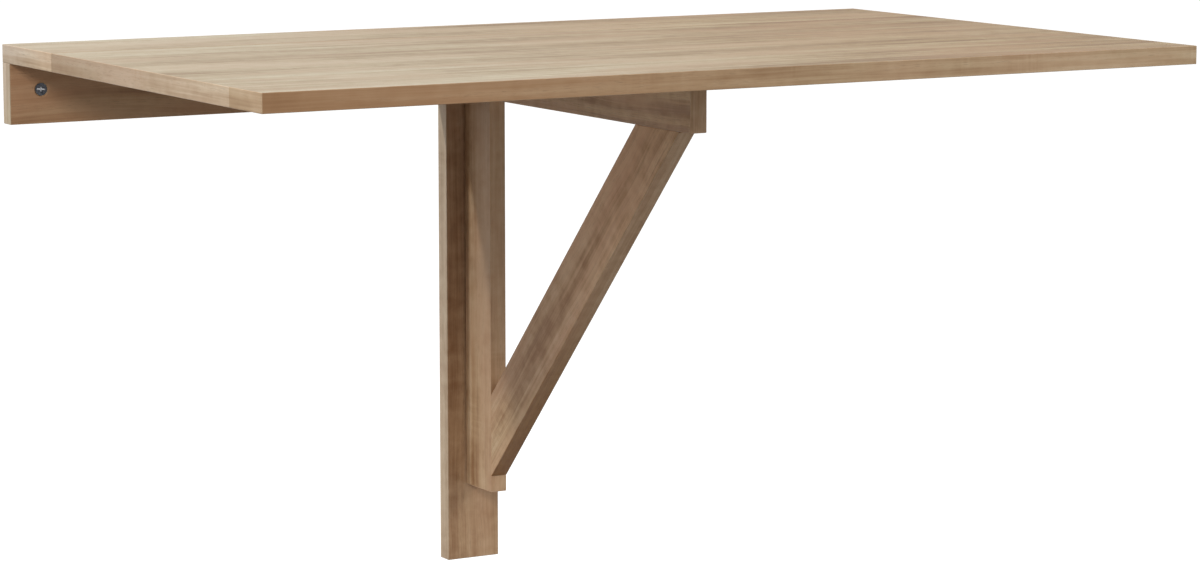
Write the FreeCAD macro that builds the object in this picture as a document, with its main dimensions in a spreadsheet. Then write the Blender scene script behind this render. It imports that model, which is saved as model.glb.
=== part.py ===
import FreeCAD, Part
import math
import os
import re

import Sketcher
from FreeCAD import Placement, Rotation, Vector

# A wall mounted drop leaf table, in millimetres.
# The wall is the plane y = 0, the room lies towards -Y, +X is right and +Z is up.
# The origin is on the wall at mid width, level with the wall screws of the rail.

SIZES = {
    # Table top: a fixed shelf at the wall and a leaf hinged to it
    "table_width": 1000,
    "table_depth": 600,
    "top_thickness": 18,
    "shelf_depth": 127.65,
    "seam_gap": 0.7,
    "edge_radius": 0.6,
    # Wall rail under the shelf and wall post under the rail
    "rail_height": 60,
    "rail_thickness": 18,
    "rail_screw_drop": 26.5,
    "rail_screw_inset": 33,
    "post_width": 60,
    "post_thickness": 18,
    "post_length": 487,
    "post_offset": 10,
    "post_screw_inset": 30,
    # Gate: stile, arm and brace in one plane, with a nylon glide on the arm's tip
    "gate_thickness": 18,
    "gate_gap": 2,
    "stile_width": 55,
    "stile_length": 462,
    "arm_length": 397,
    "arm_height": 50,
    "arm_drop": 4,
    "brace_drop": 352,
    "brace_head_inset": 61,
    "brace_width": 60,
    "glide_length": 22,
    "glide_clearance": 0.3,
    # Wall screws, sunk in a countersink that is wider than the head
    "wall_screw_head": 6.5,
    "wall_screw_neck": 3,
    "wall_screw_shank": 2.5,
    "wall_screw_length": 60,
    "wall_screw_sink": 1,
    "wall_screw_slot": 8,
    "wall_screw_slot_width": 1.6,
    "wall_screw_slot_depth": 2,
    "wall_screw_clearance": 0.3,
    # Screws of the hinges
    "hinge_screw_head": 3.3,
    "hinge_screw_shank": 1.5,
    "hinge_screw_length": 15,
    "hinge_screw_slot": 3.6,
    "hinge_screw_slot_width": 0.8,
    "hinge_screw_slot_depth": 1,
    "hinge_screw_clearance": 0.05,
    # Butt hinges: a long pattern under the seam and a narrow one on the gate
    "hinge_plate": 2,
    "hinge_play": 0.6,
    "knuckle_gap": 0.4,
    "pin_radius": 1.5,
    "pin_clearance": 0.05,
    "pin_head": 2.2,
    "pin_head_height": 0.8,
    "leaf_hinge_length": 70,
    "leaf_hinge_reach": 26,
    "leaf_hinge_knuckle": 3,
    "mortise_clearance": 0.2,
    "gate_hinge_length": 50,
    "gate_hinge_reach": 16,
    "gate_hinge_knuckle": 3.5,
    "gate_hinge_standoff": 0.5,
    "gate_hinge_inset": 60,
    # Dowels and the cam locks that hold the shelf down on the rail
    "dowel_radius": 4,
    "dowel_length": 36,
    "dowel_clearance": 0.05,
    "dowel_chamfer": 0.8,
    "dowel_spacing": 26,
    "shelf_dowel_depth": 12,
    "cam_radius": 7.5,
    "cam_depth": 13.5,
    "cam_drop": 24,
    "cam_clearance": 0.05,
    "cam_slot": 9,
    "cam_slot_width": 2,
    "cam_slot_depth": 2.5,
    "cam_bolt_head": 3.2,
    "cam_bolt_head_height": 3,
    "cam_bolt_neck": 2,
    "cam_bolt_thread": 3,
    "cam_bolt_bite": 11,
    "cam_bolt_play": 0.3,
    "cam_bolt_hole": 4,
}

# Places that follow from the sizes
PLACES = {
    "underside": "rail_screw_drop",
    "rail_bottom": "underside - rail_height",
    "rail_middle": "-rail_thickness / 2",
    "rail_screw_reach": "table_width / 2 - rail_screw_inset",
    "post_bottom": "rail_bottom - post_length",
    "seam": "-(shelf_depth + seam_gap / 2)",
    "gate_left": "post_offset - gate_thickness / 2",
    "gate_right": "post_offset + gate_thickness / 2",
    "gate_top": "underside - arm_drop",
    "gate_bottom": "gate_top - stile_length",
    "stile_rear": "-(post_thickness + gate_gap)",
    "stile_front": "stile_rear - stile_width",
    "arm_bottom": "gate_top - arm_height",
    "arm_tip": "stile_front - arm_length",
    "foot_middle": "arm_bottom - brace_drop",
    "head_middle": "arm_tip + brace_head_inset",
    "brace_run": "stile_front - head_middle",
    "brace_slope": "sqrt(brace_drop ^ 2 + brace_run ^ 2)",
    "foot_half": "brace_width * brace_slope / (2 * brace_run)",
    "head_half": "brace_width * brace_slope / (2 * brace_drop)",
    "leaf_hinge_seat": "hinge_plate",
    "gate_hinge_seat": "gate_hinge_knuckle + gate_hinge_standoff",
    "gate_pin_x": "gate_right + gate_hinge_seat",
    "gate_pin_y": "-(post_thickness + gate_hinge_seat)",
    "dowel_hole": "dowel_radius + dowel_clearance",
    "hinge_screw_hole": "hinge_screw_shank + hinge_screw_clearance",
    "wall_screw_hole": "wall_screw_neck + wall_screw_clearance",
}

# Where fittings sit along the table, as shares of its width
CAM_SHARES = (-0.375, -0.125, 0.125, 0.375)
DOWEL_SHARES = (-0.44, -0.25, 0, 0.25, 0.44)
LEAF_HINGE_SHARES = {"left": -0.36, "middle": 0, "right": 0.36}

RAIL_SCREW_STEPS = (-3, -1, 1, 3)
KNUCKLES = 5
LEAF_HINGE_SCREWS = 3
GATE_HINGE_SCREWS = 2

# Rotations that turn a piece's own +Z to a direction of the table
UP = Rotation()
TO_ROOM = Rotation(Vector(1, 0, 0), 90)
TO_WALL = Rotation(Vector(1, 0, 0), -90)
TO_LEFT = Rotation(Vector(0, 1, 0), -90)
TO_RIGHT = Rotation(Vector(0, 1, 0), 90)

doc = FreeCAD.newDocument("drop_leaf_table")
sheet = doc.addObject("Spreadsheet::Sheet", "Sizes")
for row, (size_name, size) in enumerate(SIZES.items(), start=1):
    sheet.set(f"A{row}", size_name)
    sheet.set(f"B{row}", str(size))
    sheet.setAlias(f"B{row}", size_name)
doc.recompute()

nodes = []


def cells(text):
    """An expression on the sheet, from a sum written in the names of sizes and places."""

    def reference(found):
        word = found.group()
        if word in PLACES:
            return "(" + cells(PLACES[word]) + ")"
        return "Sizes." + word if word in SIZES else word

    return re.sub(r"[a-z][a-z_]*", reference, text)


def bind(item, **sizes):
    for name, text in sizes.items():
        item.setExpression(name, cells(text))


def place(item, where, rotation=UP):
    item.Placement = Placement(Vector(), rotation)
    for axis, text in zip("xyz", where):
        item.setExpression("Placement.Base." + axis, cells(text))


def finished(item):
    nodes.append(item)
    return item


def feature(body, kind, name, where, rotation=UP, **sizes):
    """One PartDesign primitive of a body, added to it or taken from it."""
    item = body.newObject("PartDesign::" + kind, name)
    bind(item, **sizes)
    place(item, where, rotation)
    return item


def rectangle(low, high):
    return [low, (high[0], low[1]), high, (low[0], high[1])]


def board(label, plane, offset, thickness, outline):
    """A board of even thickness, cut to an outline on one of its planes, with eased edges."""
    body = doc.addObject("PartDesign::Body", label)
    sketch = body.newObject("Sketcher::SketchObject", label + "_outline")
    support = next(item for item in body.Origin.OriginFeatures if item.Role == plane)
    sketch.AttachmentSupport = [(support, "")]
    sketch.MapMode = "FlatFace"
    sketch.setExpression("AttachmentOffset.Base.z", cells(offset))
    turn = 2 * math.pi / len(outline)
    start = [Vector(math.cos(i * turn), math.sin(i * turn), 0) for i in range(len(outline))]
    for here, there in zip(start, start[1:] + start[:1]):
        sketch.addGeometry(Part.LineSegment(here, there))
    for i, corner in enumerate(start):
        following = (i + 1) % len(start)
        sketch.addConstraint(Sketcher.Constraint("Coincident", i, 2, following, 1))
    for i, (across, along) in enumerate(outline):
        for kind, text, value in (("DistanceX", across, start[i].x), ("DistanceY", along, start[i].y)):
            number = sketch.addConstraint(Sketcher.Constraint(kind, -1, 1, i, 1, value))
            sketch.setExpression(f"Constraints[{number}]", cells(text))
    doc.recompute()
    pad = body.newObject("PartDesign::Pad", label + "_pad")
    pad.Profile = sketch
    bind(pad, Length=thickness)
    doc.recompute()
    ease = body.newObject("PartDesign::Fillet", label + "_eased_edges")
    ease.Base = (pad, [])
    ease.UseAllEdges = True
    bind(ease, Radius="edge_radius")
    doc.recompute()
    return finished(body)


def drill(body, name, where, rotation, radius, depth):
    feature(body, "SubtractiveCylinder", name, where, rotation, Radius=radius, Height=depth)


def group(label, master, stations):
    """Copies of one fitting, as one node of separate solids."""
    copies = []
    for number, (where, rotation) in enumerate(stations, start=1):
        copy = doc.addObject("App::Link", f"{label}_{number}")
        copy.LinkedObject = master
        place(copy, where, rotation)
        copies.append(copy)
    compound = doc.addObject("Part::Compound", label)
    compound.Links = copies
    return finished(compound)


def countersunk_screw(label, kind):
    """A countersunk cross head screw along +Z, with the top of its head at the origin."""
    body = doc.addObject("PartDesign::Body", label)
    head, shank, length = f"{kind}_head", f"{kind}_shank", f"{kind}_length"
    slot, width, depth = f"{kind}_slot", f"{kind}_slot_width", f"{kind}_slot_depth"
    origin = ("0", "0", "0")
    feature(body, "AdditiveCone", label + "_head", origin,
            Radius1=head, Radius2=shank, Height=f"{head} - {shank}")
    feature(body, "AdditiveCylinder", label + "_shank", origin,
            Radius=shank, Height=f"{length} - 2 * {shank}")
    feature(body, "AdditiveCone", label + "_point", ("0", "0", f"{length} - 2 * {shank}"),
            Radius1=shank, Radius2="0", Height=f"2 * {shank}")
    feature(body, "SubtractiveBox", label + "_slot", (f"-{slot} / 2", f"-{width} / 2", "0"),
            Length=slot, Width=width, Height=depth)
    feature(body, "SubtractiveBox", label + "_cross_slot", (f"-{width} / 2", f"-{slot} / 2", "0"),
            Length=width, Width=slot, Height=depth)
    return body


def make_dowel():
    body = doc.addObject("PartDesign::Body", "dowel")
    rod = feature(body, "AdditiveCylinder", "dowel_rod", ("0", "0", "0"),
                  Radius="dowel_radius", Height="dowel_length")
    doc.recompute()
    chamfer = body.newObject("PartDesign::Chamfer", "dowel_ends")
    chamfer.Base = (rod, [])
    chamfer.UseAllEdges = True
    bind(chamfer, Size="dowel_chamfer")
    return body


def make_cam():
    """A cam lock with its face at the origin, its depth along +Z and its mouth towards +X."""
    body = doc.addObject("PartDesign::Body", "cam")
    feature(body, "AdditiveCylinder", "cam_disc", ("0", "0", "0"),
            Radius="cam_radius - cam_clearance", Height="cam_depth")
    feature(body, "SubtractiveCylinder", "cam_mouth", ("0", "0", "-rail_middle"), TO_RIGHT,
            Radius="cam_bolt_head + cam_bolt_play", Height="2 * cam_radius")
    for name, length, width in (("cam_slot_one", "cam_slot", "cam_slot_width"),
                                ("cam_slot_two", "cam_slot_width", "cam_slot")):
        feature(body, "SubtractiveBox", name, (f"-{length} / 2", f"-{width} / 2", "0"),
                Length=length, Width=width, Height="cam_slot_depth")
    return body


def make_cam_bolt():
    """A cam bolt along +Z, from the middle of its cam up into the shelf."""
    body = doc.addObject("PartDesign::Body", "cam_bolt")
    feature(body, "AdditiveCylinder", "cam_bolt_knob", ("0", "0", "0"),
            Radius="cam_bolt_head", Height="cam_bolt_head_height")
    feature(body, "AdditiveCylinder", "cam_bolt_stem", ("0", "0", "0"),
            Radius="cam_bolt_neck", Height="cam_drop")
    feature(body, "AdditiveCylinder", "cam_bolt_screw", ("0", "0", "cam_drop"),
            Radius="cam_bolt_thread", Height="cam_bolt_bite")
    return body


def hinge_plate(label, kind, screw_count, outer, where, rotation):
    """Half of a butt hinge: its pin lies along +X, its plate along +Y, and the wood is towards +Z."""
    body = doc.addObject("PartDesign::Body", label)
    length, reach, knuckle, seat = (f"{kind}_{word}" for word in ("length", "reach", "knuckle", "seat"))
    inner_edge = f"({knuckle} + hinge_play)"
    face = f"{seat} - hinge_plate"
    feature(body, "AdditiveBox", label + "_flange", ("0", inner_edge, face),
            Length=length, Width=f"{reach} - {inner_edge}", Height="hinge_plate")
    for i in range(0 if outer else 1, KNUCKLES, 2):
        start = f"{i} * {length} / {KNUCKLES} + knuckle_gap / 2"
        span = f"{length} / {KNUCKLES} - knuckle_gap"
        feature(body, "AdditiveBox", f"{label}_web_{i}", (start, "0", face),
                Length=span, Width=inner_edge, Height="hinge_plate")
        feature(body, "AdditiveCylinder", f"{label}_knuckle_{i}", (start, "0", "0"), TO_RIGHT,
                Radius=knuckle, Height=span)
    drill(body, label + "_pin_hole", ("0", "0", "0"), TO_RIGHT, "pin_radius + pin_clearance", length)
    for along, across in hinge_screw_places(kind, screw_count):
        feature(body, "SubtractiveCone", label + "_countersink", (along, across, face),
                Radius1="hinge_screw_head", Radius2="hinge_screw_shank",
                Height="hinge_screw_head - hinge_screw_shank")
        drill(body, label + "_screw_hole", (along, across, face), UP, "hinge_screw_hole", "hinge_plate")
    place(body, where, rotation)
    return finished(body)


def hinge_screw_places(kind, screw_count):
    """Screw places on a plate: along its pin from one end, and out from the pin."""
    across = f"({kind}_reach + {kind}_knuckle + hinge_play) / 2"
    pitch = f"{kind}_length / {2 * screw_count}"
    return [(f"{2 * i + 1} * {pitch}", across) for i in range(screw_count)]


def hinge_pin(label, kind, where, rotation):
    """A pin along +X, with a low head against each end of the barrel."""
    body = doc.addObject("PartDesign::Body", label)
    barrel = f"{kind}_length - knuckle_gap"
    feature(body, "AdditiveCylinder", label + "_rod", ("knuckle_gap / 2", "0", "0"), TO_RIGHT,
            Radius="pin_radius", Height=barrel)
    for end, start in (("first", "knuckle_gap / 2 - pin_head_height"),
                       ("last", f"{kind}_length - knuckle_gap / 2")):
        feature(body, "AdditiveCylinder", f"{label}_{end}_head", (start, "0", "0"), TO_RIGHT,
                Radius="pin_head", Height="pin_head_height")
    place(body, where, rotation)
    return finished(body)


# Boards fixed to the wall
half_width = "table_width / 2"
rail = board("wall_rail", "XZ_Plane", "0", "rail_thickness",
             rectangle((f"-{half_width}", "rail_bottom"), (half_width, "underside")))
post = board("wall_post", "XZ_Plane", "0", "post_thickness",
             rectangle(("post_offset - post_width / 2", "post_bottom"),
                       ("post_offset + post_width / 2", "rail_bottom")))
shelf = board("fixed_shelf", "XY_Plane", "underside", "top_thickness",
              rectangle((f"-{half_width}", "-shelf_depth"), (half_width, "0")))

# The drop leaf
leaf = board("drop_leaf", "XY_Plane", "underside", "top_thickness",
             rectangle((f"-{half_width}", "-table_depth"), (half_width, "-(shelf_depth + seam_gap)")))

# Boards of the gate
stile = board("gate_stile", "YZ_Plane", "gate_left", "gate_thickness",
              rectangle(("stile_front", "gate_bottom"), ("stile_rear", "gate_top")))
arm = board("gate_arm", "YZ_Plane", "gate_left", "gate_thickness",
            rectangle(("arm_tip", "arm_bottom"), ("stile_front", "gate_top")))
brace = board("gate_brace", "YZ_Plane", "gate_left", "gate_thickness",
              [("stile_front", "foot_middle + foot_half"), ("head_middle + head_half", "arm_bottom"),
               ("head_middle - head_half", "arm_bottom"), ("stile_front", "foot_middle - foot_half")])
board("arm_glide", "YZ_Plane", "gate_left", "gate_thickness",
      rectangle(("arm_tip", "gate_top"), ("arm_tip + glide_length", "underside - glide_clearance")))

# Wall screws through the rail and, behind the stile, through the post: a plain neck in the wood
rail_screws = [(f"{step} * rail_screw_reach / {max(RAIL_SCREW_STEPS)}", "0") for step in RAIL_SCREW_STEPS]
post_screws = [("post_offset", "rail_bottom - post_screw_inset"),
               ("post_offset", "gate_bottom + post_screw_inset")]
for wood, label, thickness, screws in ((rail, "rail_wall_screw", "rail_thickness", rail_screws),
                                       (post, "post_wall_screw", "post_thickness", post_screws)):
    wall_screw = countersunk_screw(label, "wall_screw")
    feature(wall_screw, "AdditiveCylinder", label + "_neck", ("0", "0", "wall_screw_slot_depth"),
            Radius="wall_screw_neck", Height=f"{thickness} - wall_screw_sink - wall_screw_slot_depth")
    for x, z in screws:
        drill(wood, label + "_hole", (x, f"-{thickness}", z), TO_WALL, "wall_screw_hole", thickness)
        feature(wood, "SubtractiveCone", label + "_countersink", (x, f"-{thickness}", z), TO_WALL,
                Radius1="wall_screw_head + wall_screw_sink", Radius2="wall_screw_shank",
                Height="wall_screw_head + wall_screw_sink - wall_screw_shank")
    group(label + "s", wall_screw, [((x, f"wall_screw_sink - {thickness}", z), TO_WALL) for x, z in screws])

# Cam locks in the back of the rail, with bolts up into the shelf
cam_places = [f"{share} * table_width" for share in CAM_SHARES]
for x in cam_places:
    drill(rail, "cam_hole", (x, "0", "underside - cam_drop"), TO_ROOM, "cam_radius", "cam_depth")
    drill(rail, "cam_bolt_hole", (x, "rail_middle", "underside - cam_drop"), UP, "cam_bolt_hole", "cam_drop")
    drill(shelf, "cam_bolt_bite", (x, "rail_middle", "underside"), UP,
          "cam_bolt_thread + dowel_clearance", "cam_bolt_bite")
mouth_up = Rotation(Vector(0, 0, 1), Vector(-1, 0, 0), Vector(0, -1, 0), "ZXY")
group("shelf_cam_locks", make_cam(), [((x, "0", "underside - cam_drop"), mouth_up) for x in cam_places])
group("shelf_cam_bolts", make_cam_bolt(),
      [((x, "rail_middle", "underside - cam_drop"), UP) for x in cam_places])

# Dowels: shelf on rail, post to rail, and the three joints of the gate
dowel = make_dowel()
dowel_half = "dowel_length / 2"
rail_depth = "dowel_length - shelf_dowel_depth"
shelf_dowels = [f"{share} * table_width" for share in DOWEL_SHARES]
for x in shelf_dowels:
    drill(shelf, "dowel_hole", (x, "rail_middle", "underside"), UP, "dowel_hole", "shelf_dowel_depth")
    drill(rail, "dowel_hole", (x, "rail_middle", f"underside - ({rail_depth})"), UP, "dowel_hole", rail_depth)
group("shelf_dowels", dowel, [((x, "rail_middle", f"underside - ({rail_depth})"), UP) for x in shelf_dowels])

post_dowels = [f"post_offset + {side} * dowel_spacing / 2" for side in (-1, 1)]
for x in post_dowels:
    drill(rail, "post_dowel_hole", (x, "rail_middle", "rail_bottom"), UP, "dowel_hole", dowel_half)
    drill(post, "dowel_hole", (x, "rail_middle", f"rail_bottom - {dowel_half}"), UP, "dowel_hole", dowel_half)
group("post_dowels", dowel, [((x, "rail_middle", f"rail_bottom - {dowel_half}"), UP) for x in post_dowels])

arm_middle = "(gate_top + arm_bottom) / 2"
for label, wood, middle in (("arm_dowels", arm, arm_middle), ("brace_foot_dowels", brace, "foot_middle")):
    stations = []
    for side in (-1, 1):
        z = f"{middle} + {side} * dowel_spacing / 2"
        drill(stile, label + "_hole", ("post_offset", "stile_front", z), TO_WALL, "dowel_hole", dowel_half)
        drill(wood, label + "_hole", ("post_offset", "stile_front", z), TO_ROOM, "dowel_hole", dowel_half)
        stations.append((("post_offset", f"stile_front + {dowel_half}", z), TO_ROOM))
    group(label, dowel, stations)

stations = []
for side in (-1, 1):
    y = f"head_middle + {side} * dowel_spacing / 2"
    low = f"arm_bottom - {dowel_half}"
    drill(arm, "brace_dowel_hole", ("post_offset", y, "arm_bottom"), UP, "dowel_hole", dowel_half)
    drill(brace, "head_dowel_hole", ("post_offset", y, low), UP, "dowel_hole", dowel_half)
    stations.append((("post_offset", y, low), UP))
group("brace_head_dowels", dowel, stations)

# Leaf hinges, let in flush under the seam
hinge_screw = countersunk_screw("hinge_screw", "hinge_screw")
screw_bite = "hinge_screw_length - hinge_plate"
half_turn = Rotation(Vector(0, 0, 1), 180)
shelf_stations, leaf_stations = [], []
for side, share in LEAF_HINGE_SHARES.items():
    left = f"({share} * table_width - leaf_hinge_length / 2)"
    right = f"({share} * table_width + leaf_hinge_length / 2)"
    label = f"leaf_hinge_{side}"
    hinge_plate(label + "_shelf_plate", "leaf_hinge", LEAF_HINGE_SCREWS, True,
                (left, "seam", "underside"), UP)
    hinge_plate(label + "_leaf_plate", "leaf_hinge", LEAF_HINGE_SCREWS, False,
                (right, "seam", "underside"), half_turn)
    hinge_pin(label + "_pin", "leaf_hinge", (left, "seam", "underside"), UP)
    mortise = "leaf_hinge_reach + mortise_clearance"
    barrel_end = "pin_head_height + mortise_clearance"
    for wood, front in ((shelf, "seam"), (leaf, f"seam - ({mortise})")):
        feature(wood, "SubtractiveBox", label + "_mortise",
                (f"{left} - mortise_clearance", front, "underside"),
                Length="leaf_hinge_length + 2 * mortise_clearance", Width=mortise, Height="hinge_plate")
        drill(wood, label + "_barrel_notch", (f"{left} - ({barrel_end})", "seam", "underside"), TO_RIGHT,
              "leaf_hinge_knuckle + hinge_play", f"leaf_hinge_length + 2 * ({barrel_end})")
    for along, across in hinge_screw_places("leaf_hinge", LEAF_HINGE_SCREWS):
        for wood, y, stations in ((shelf, f"seam + {across}", shelf_stations),
                                  (leaf, f"seam - {across}", leaf_stations)):
            x = f"{left} + {along}"
            drill(wood, label + "_screw_hole", (x, y, "underside + hinge_plate"), UP,
                  "hinge_screw_hole", screw_bite)
            stations.append(((x, y, "underside"), UP))
group("leaf_hinge_shelf_screws", hinge_screw, shelf_stations)
group("leaf_hinge_leaf_screws", hinge_screw, leaf_stations)

# Gate hinges, between the post's face and the right side of the stile
post_side = Rotation(Vector(0, 0, 1), Vector(1, 0, 0), Vector(0, 1, 0), "ZXY")
stile_side = Rotation(Vector(0, 0, -1), Vector(0, -1, 0), Vector(-1, 0, 0), "ZXY")
gate_hinges = {"upper": "rail_bottom - gate_hinge_inset", "lower": "gate_bottom + gate_hinge_inset"}
post_stations, stile_stations = [], []
for name, middle in gate_hinges.items():
    low = f"({middle} - gate_hinge_length / 2)"
    high = f"({middle} + gate_hinge_length / 2)"
    label = f"gate_hinge_{name}"
    hinge_plate(label + "_post_plate", "gate_hinge", GATE_HINGE_SCREWS, True,
                ("gate_pin_x", "gate_pin_y", low), post_side)
    hinge_plate(label + "_stile_plate", "gate_hinge", GATE_HINGE_SCREWS, False,
                ("gate_pin_x", "gate_pin_y", high), stile_side)
    hinge_pin(label + "_pin", "gate_hinge", ("gate_pin_x", "gate_pin_y", low), post_side)
    for along, across in hinge_screw_places("gate_hinge", GATE_HINGE_SCREWS):
        z = f"{low} + {along}"
        drill(post, label + "_screw_hole", (f"gate_pin_x + {across}", "-post_thickness", z), TO_WALL,
              "hinge_screw_hole", screw_bite)
        post_stations.append(((f"gate_pin_x + {across}", "-(post_thickness + hinge_plate)", z), TO_WALL))
        drill(stile, label + "_screw_hole", ("gate_right", f"gate_pin_y - {across}", z), TO_LEFT,
              "hinge_screw_hole", screw_bite)
        stile_stations.append((("gate_right + hinge_plate", f"gate_pin_y - {across}", z), TO_LEFT))
group("gate_hinge_post_screws", hinge_screw, post_stations)
group("gate_hinge_stile_screws", hinge_screw, stile_stations)

doc.recompute()

# Nothing is written unless every object is sound
for item in doc.Objects:
    if {"Invalid", "Error"} & set(item.State):
        raise RuntimeError(f"{item.Label} failed: {item.State}")
for node in nodes:
    if node.Shape.isNull() or not node.Shape.isValid() or not node.Shape.Solids:
        raise RuntimeError(f"{node.Label} has no sound solid")

os.makedirs("parts", exist_ok=True)
for node in nodes:
    node.Shape.exportStep(f"parts/{node.Label}.step")
    print(f"{node.Label}: {len(node.Shape.Solids)} solid(s), {node.Shape.Volume / 1000:.2f} cm3")
print(len(nodes), "nodes")
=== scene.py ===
# %% [markdown]
# A wall mounted drop leaf table: a fixed shelf and rail on the wall, a hinged leaf, and a
# three-sided gate that swings out under the leaf to carry it. Its boards are 18 mm thick and
# have an oak look, and most of its fittings are steel. All of it is exact solids already, so
# this lesson gives them their finishes, and makes only the screws anew, which need threads.

# %% Load the solids
import math
from collections import namedtuple

import bmesh
import bpy
import numpy as np
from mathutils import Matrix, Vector


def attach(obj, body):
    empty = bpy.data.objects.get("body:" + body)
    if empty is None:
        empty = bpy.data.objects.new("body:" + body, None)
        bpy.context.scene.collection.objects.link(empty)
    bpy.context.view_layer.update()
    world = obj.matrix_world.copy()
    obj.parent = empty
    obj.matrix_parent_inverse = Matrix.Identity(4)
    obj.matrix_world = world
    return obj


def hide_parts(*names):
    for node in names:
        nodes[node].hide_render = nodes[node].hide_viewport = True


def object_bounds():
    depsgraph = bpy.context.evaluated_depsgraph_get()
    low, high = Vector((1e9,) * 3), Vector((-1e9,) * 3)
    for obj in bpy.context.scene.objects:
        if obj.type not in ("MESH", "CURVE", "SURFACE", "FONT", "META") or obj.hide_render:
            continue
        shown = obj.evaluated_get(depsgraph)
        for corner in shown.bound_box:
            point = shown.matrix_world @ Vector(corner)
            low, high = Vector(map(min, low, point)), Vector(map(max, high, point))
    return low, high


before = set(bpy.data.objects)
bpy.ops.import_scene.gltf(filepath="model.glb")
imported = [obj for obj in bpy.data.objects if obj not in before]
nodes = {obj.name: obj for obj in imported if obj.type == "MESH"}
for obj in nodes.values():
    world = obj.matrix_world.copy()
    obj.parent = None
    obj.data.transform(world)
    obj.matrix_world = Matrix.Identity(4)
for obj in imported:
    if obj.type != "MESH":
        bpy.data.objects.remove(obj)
cad_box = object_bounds()
MM = 0.001
print(len(nodes), "solids from", [round(x, 3) for x in cad_box[0]], "to", [round(x, 3) for x in cad_box[1]])

# %% [markdown]
# The camera stands about three and a half metres off, to the left and a little above the top.
# A long lens from there keeps the boards' edges nearly parallel. A camera that looks slightly
# down does this without a lens shift, so the table stays in the middle of every other view.

# %% Camera
PICTURE_WIDTH = 1200
FOCAL_PIXELS = 3754.7
SENSOR_WIDTH = 36
FAR_LIMIT = 200
CAMERA_PLACE = Vector((-1.8293, -3.4696, 0.3356))
CAMERA_YAW, CAMERA_PITCH = math.radians(30.022), math.radians(-8.177)

lens = bpy.data.cameras.new("camera")
lens.sensor_width = SENSOR_WIDTH
lens.lens = FOCAL_PIXELS / PICTURE_WIDTH * SENSOR_WIDTH
lens.clip_end = FAR_LIMIT
camera = bpy.data.objects.new("camera", lens)
camera.location = CAMERA_PLACE
ahead = Vector((math.sin(CAMERA_YAW) * math.cos(CAMERA_PITCH),
                math.cos(CAMERA_YAW) * math.cos(CAMERA_PITCH), math.sin(CAMERA_PITCH)))
camera.rotation_euler = ahead.to_track_quat("-Z", "Y").to_euler()
scene = bpy.context.scene
scene.collection.objects.link(camera)
scene.camera = camera
scene.view_settings.view_transform = "Standard"
print("lens of", round(lens.lens, 1), "mm")

# %% [markdown]
# Node trees read best as sums. This small class wraps one socket, so that `1 - mask` or
# `streak * 0.4 + 0.3` adds the Math nodes by itself. Every other node comes from its one
# method `node`. The same class writes materials and, further down, Geometry Nodes.

# %% Sums on sockets
# The sockets of a Mix node that mixes colours, which go by number
MIX_SHARE, MIX_FIRST, MIX_SECOND, MIX_RESULT = 0, 6, 7, 2


class Wire:
    """A socket of a node tree, for use in sums."""

    def __init__(self, tree, socket=None):
        self.tree, self.socket = tree, socket

    def node(self, kind, settings, sockets, out=0):
        made = self.tree.nodes.new(kind)
        for name, value in settings.items():
            if name == "stops":
                stops = made.color_ramp.elements
                while len(stops) < len(value):
                    stops.new(1)
                for stop, (position, colour) in zip(stops, value):
                    stop.position, stop.color = position, colour
            else:
                setattr(made, name, value)
        for name, value in sockets.items():
            if isinstance(value, Wire):
                self.tree.links.new(value.socket, made.inputs[name])
            else:
                made.inputs[name].default_value = value
        return Wire(self.tree, made.outputs[out])

    def maths(self, operation, *others):
        return self.node("ShaderNodeMath", {"operation": operation}, dict(enumerate((self, *others))))

    def __add__(self, other):
        return self.maths("ADD", other)

    def __sub__(self, other):
        return self.maths("SUBTRACT", other)

    def __rsub__(self, other):
        return self.node("ShaderNodeMath", {"operation": "SUBTRACT"}, {0: other, 1: self})

    def __mul__(self, other):
        return self.maths("MULTIPLY", other)

    def __truediv__(self, other):
        return self.maths("DIVIDE", other)

    __radd__, __rmul__ = __add__, __mul__

    def step(self, low, high):
        """0 up to low, 1 from high on, and a smooth rise between."""
        return self.node("ShaderNodeMapRange", {"interpolation_type": "SMOOTHSTEP"},
                         {"Value": self, "From Min": low, "From Max": high})

    def mix(self, first, second):
        """A colour between two others, with this socket as the share of the second."""
        return self.node("ShaderNodeMix", {"data_type": "RGBA"},
                         {MIX_SHARE: self, MIX_FIRST: first, MIX_SECOND: second}, MIX_RESULT)

    def shade(self, colour):
        """A colour made darker or lighter by this socket."""
        return self.node("ShaderNodeMix", {"data_type": "RGBA", "blend_type": "MULTIPLY"},
                         {MIX_SHARE: 1.0, MIX_FIRST: colour, MIX_SECOND: self}, MIX_RESULT)


print("sums on sockets are ready")

# %% [markdown]
# Every finish starts the same way: one shader, and the piece's own coordinates to draw on. A
# few helpers keep the materials short. Colours are written as a screen shows them, because
# that is how they are picked, and turned into the light that the shader works with.

# %% Helpers for finishes
def linear(red, green, blue):
    """A colour as a screen shows it, from 0 to 255, as light, by the sRGB curve."""
    shares = [x / 255 for x in (red, green, blue)]
    return tuple(x / 12.92 if x <= 0.04045 else ((x + 0.055) / 1.055) ** 2.4 for x in shares) + (1,)


def new_finish(name):
    """A material with only its shader, that shader, and a wire with the piece's own coordinates."""
    material = bpy.data.materials.new(name)
    material.use_nodes = True
    tree = material.node_tree
    shader = tree.nodes["Principled BSDF"]
    place = Wire(tree).node("ShaderNodeTexCoord", {}, {}, "Object")
    return material, shader, place


def join(shader, **wires):
    """Links wires to a shader's sockets, named with _ for a space."""
    for name, wire in wires.items():
        wire.tree.links.new(wire.socket, shader.inputs[name.replace("_", " ")])


def noise(vector, scale=1.0, detail=2.0):
    return vector.node("ShaderNodeTexNoise", {}, {"Vector": vector, "Scale": scale, "Detail": detail})


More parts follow.
